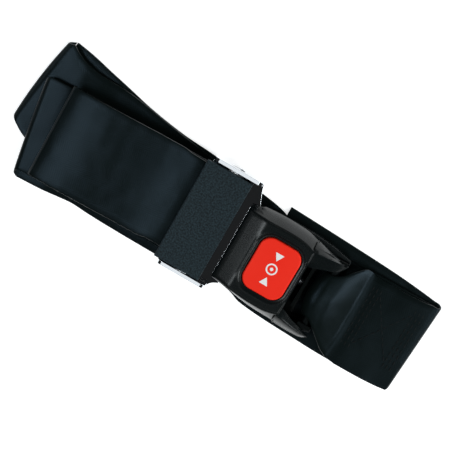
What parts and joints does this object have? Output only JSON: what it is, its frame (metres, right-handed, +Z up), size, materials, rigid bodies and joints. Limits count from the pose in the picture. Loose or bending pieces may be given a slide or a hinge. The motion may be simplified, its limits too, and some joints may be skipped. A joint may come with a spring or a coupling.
{
  "type": "luggage strap",
  "caption": "Webbing strap folded flat in a bundle, with a sewn end, a push-button release buckle and an adjustable metal tongue.",
  "frame": {"origin": "on the table face below the centre of the button", "axes": "+X along the strap towards the sewn end, +Y across the strap, +Z up"},
  "size_m": [0.2382, 0.0755, 0.0221],
  "materials": {
    "webbing": "woven polyester, satin",
    "thread": "sewing thread",
    "chrome": "bright chrome plating",
    "steel": "zinc-plated steel",
    "spring_steel": "spring steel",
    "cover": "coarse textured",
    "housing": "fine textured, slightly glossy",
    "button": "satin red",
    "icon": "white print",
    "ejector": "black acetal"
  },
  "bodies": {
    "buckle": {"housing_base": "housing", "housing_top": "housing", "buckle_frame": "steel", "latch_leaf": "spring_steel", "leaf_rivets": "steel", "anchor_bar": "steel", "ejector_spring": "spring_steel", "end_flap": "webbing", "end_turn_outer": "webbing", "end_turn_inner": "webbing", "sewn_top_leg": "webbing", "sewn_lower_leg": "webbing", "anchor_wrap": "webbing", "lower_run": "webbing", "stitch_rows": "thread", "stitch_cross": "thread", "button_spring_left": "spring_steel", "button_spring_right": "spring_steel"},
    "press_button": {"button": "button", "button_icon": "icon"},
    "pusher": {"ejector": "ejector"},
    "tongue": {"tongue_plate": "chrome", "outer_loop": "webbing", "middle_fold": "webbing", "top_fold": "webbing", "hidden_fold_lower": "webbing", "hidden_fold_upper": "webbing", "run_to_lower_fold": "webbing", "run_to_middle_fold": "webbing", "run_to_upper_fold": "webbing", "run_to_top_fold": "webbing", "top_run": "webbing", "free_tail": "webbing"},
    "lock_bar": {"slide_bar": "steel", "bar_cover": "cover", "bar_wrap": "webbing"}
  },
  "joints": [
    {"name": "button_press", "type": "slide", "parent": "buckle", "child": "press_button", "axis": [0, 0, -1], "range_m": [0, 0.003], "stiffness_N_per_m": 900, "springref_m": -0.0006, "deforming": ["button_spring_left", "button_spring_right", "latch_leaf"]},
    {"name": "tongue_release", "type": "slide", "parent": "buckle", "child": "tongue", "axis": [-1, 0, 0], "range_m": [0, 0.026]},
    {"name": "ejector_push", "type": "slide", "parent": "buckle", "child": "pusher", "axis": [-1, 0, 0], "range_m": [0, 0.008], "deforming": ["ejector_spring"]},
    {"name": "lock_bar_slide", "type": "slide", "parent": "tongue", "child": "lock_bar", "axis": [1, 0, 0], "range_m": [0, 0.0025]}
  ],
  "couplings": [
    {"joint": "ejector_push", "follows": "tongue_release", "ratio": 0.3}
  ]
}
